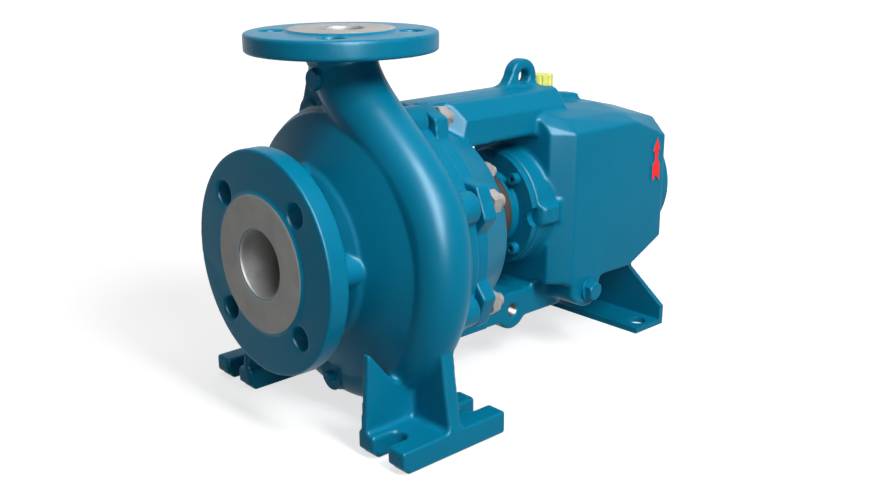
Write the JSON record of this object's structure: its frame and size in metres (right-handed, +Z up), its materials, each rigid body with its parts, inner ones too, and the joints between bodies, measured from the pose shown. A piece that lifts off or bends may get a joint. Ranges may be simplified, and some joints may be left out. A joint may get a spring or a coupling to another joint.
{
  "type": "chemical centrifugal pump",
  "caption": "A blue chemical centrifugal pump with an axial suction flange, a top discharge flange, a volute casing on two feet, and a bearing frame with a yellow oil filler cap",
  "frame": {"origin": "on the floor under the centreline of the discharge flange, in the plane of the shaft", "axes": "+X along the shaft to the drive end, +Y to the right seen from the drive end, +Z up along the discharge"},
  "size_m": [0.465, 0.2462, 0.292],
  "materials": {
    "blue_paint": "gloss",
    "machined_iron": "satin",
    "steel": "satin",
    "bright_steel": "polished",
    "bronze": "satin",
    "seal_rubber": "matte",
    "seal_carbon": "matte",
    "gasket_fibre": "matte",
    "yellow_plastic": "gloss"
  },
  "bodies": {
    "pump_body": {"volute_casing": "blue_paint", "casing_wear_ring": "bronze", "drain_plug": "blue_paint", "gauge_plug": "blue_paint", "rear_gauge_plug": "blue_paint", "casing_cover": "machined_iron", "casing_gasket": "gasket_fibre", "bearing_frame": "blue_paint", "casing_studs": "steel", "casing_nuts": "steel", "cover_studs": "steel", "cover_nuts": "steel", "seal_gland": "steel", "gland_screws": "bright_steel", "seal_seat": "seal_carbon", "front_bearing_cover": "blue_paint", "front_cover_screws": "blue_paint", "front_lip_seal": "seal_rubber", "rear_bearing_cover": "blue_paint", "rear_cover_screws": "steel", "rear_lip_seal": "seal_rubber", "front_outer_race": "bright_steel", "rear_outer_race": "bright_steel", "support_foot": "blue_paint", "support_foot_bolts": "steel", "oil_drain_plug": "blue_paint", "oil_filler_neck": "steel"},
    "rotor": {"shaft": "bright_steel", "impeller": "machined_iron", "impeller_key": "steel", "impeller_nut": "bright_steel", "shaft_sleeve": "bright_steel", "seal_ring": "seal_carbon", "seal_head": "bright_steel", "deflector_ring": "seal_rubber", "front_inner_race": "bright_steel", "rear_inner_race": "bright_steel", "bearing_lock_nut": "steel"},
    "front_ball_set": {"front_bearing_cage": "bronze", "front_bearing_balls": "bright_steel"},
    "rear_ball_set": {"rear_bearing_cage": "bronze", "rear_bearing_balls": "bright_steel"},
    "filler_cap": {"oil_filler_cap": "yellow_plastic"}
  },
  "joints": [
    {"name": "rotor_spin", "type": "hinge", "parent": "pump_body", "child": "rotor", "pos_m": [0.2, 0, 0.132], "axis": [-1, 0, 0], "continuous": true},
    {"name": "front_ball_set_roll", "type": "hinge", "parent": "pump_body", "child": "front_ball_set", "pos_m": [0.1735, 0, 0.132], "axis": [-1, 0, 0], "continuous": true},
    {"name": "rear_ball_set_roll", "type": "hinge", "parent": "pump_body", "child": "rear_ball_set", "pos_m": [0.2985, 0, 0.132], "axis": [-1, 0, 0], "continuous": true},
    {"name": "filler_cap_lift", "type": "slide", "parent": "pump_body", "child": "filler_cap", "axis": [0, 0, 1], "range_m": [0, 0.03]}
  ],
  "couplings": [
    {"joint": "front_ball_set_roll", "follows": "rotor_spin", "ratio": 0.3824},
    {"joint": "rear_ball_set_roll", "follows": "rotor_spin", "ratio": 0.3824}
  ]
}
